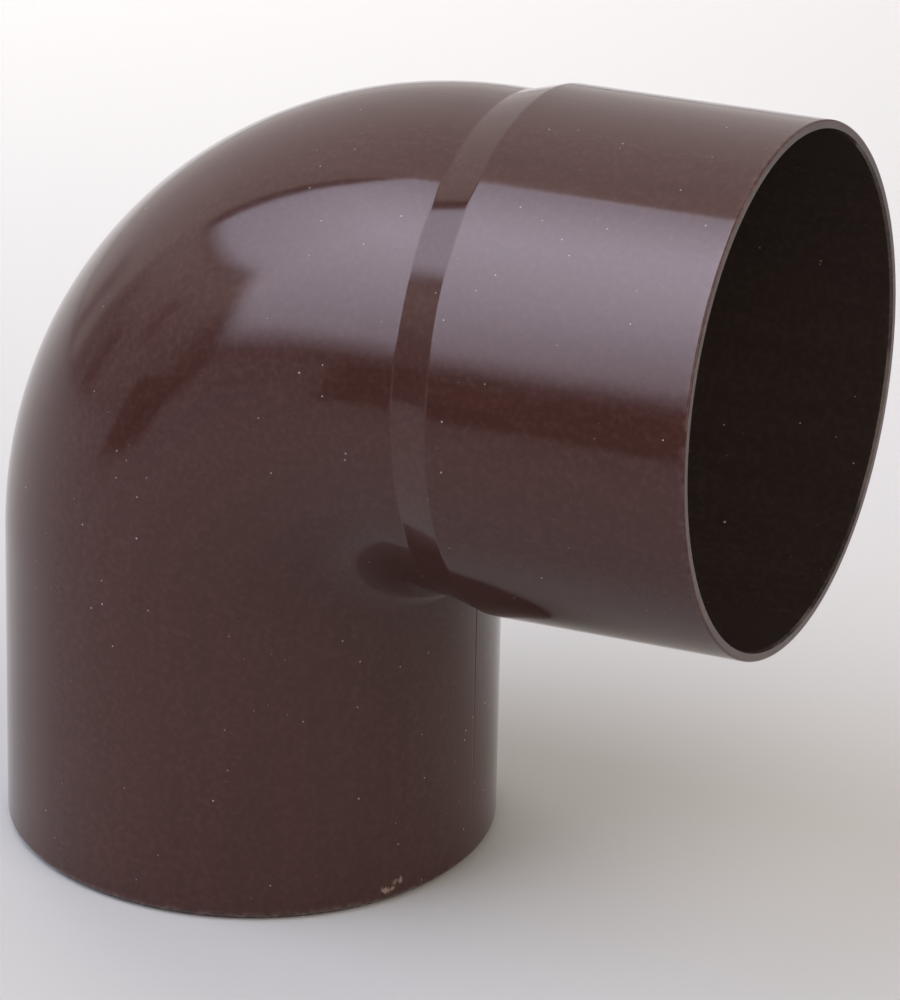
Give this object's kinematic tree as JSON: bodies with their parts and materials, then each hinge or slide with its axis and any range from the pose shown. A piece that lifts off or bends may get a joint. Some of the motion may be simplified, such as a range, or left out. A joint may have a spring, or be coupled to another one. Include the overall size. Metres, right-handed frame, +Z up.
{
  "type": "downspout elbow",
  "caption": "Tight moulded PVC rainwater elbow: plain spigot leg down, near right-angle bend and a wider plain socket that takes an 80 mm round downpipe.",
  "frame": {"origin": "centre of the spigot's end face, which the elbow stands on", "axes": "+Z up along the spigot's axis into the bend, +X to the side that the socket points to, so the part is symmetric about the XZ plane; the socket's axis rises 2.5 degrees above +X"},
  "size_m": [0.1338, 0.0836, 0.135],
  "materials": {
    "body": "injection-moulded brown PVC-U, semi-gloss, lightly dusty and handled"
  },
  "bodies": {
    "root": {"elbow": "body"}
  },
  "joints": []
}
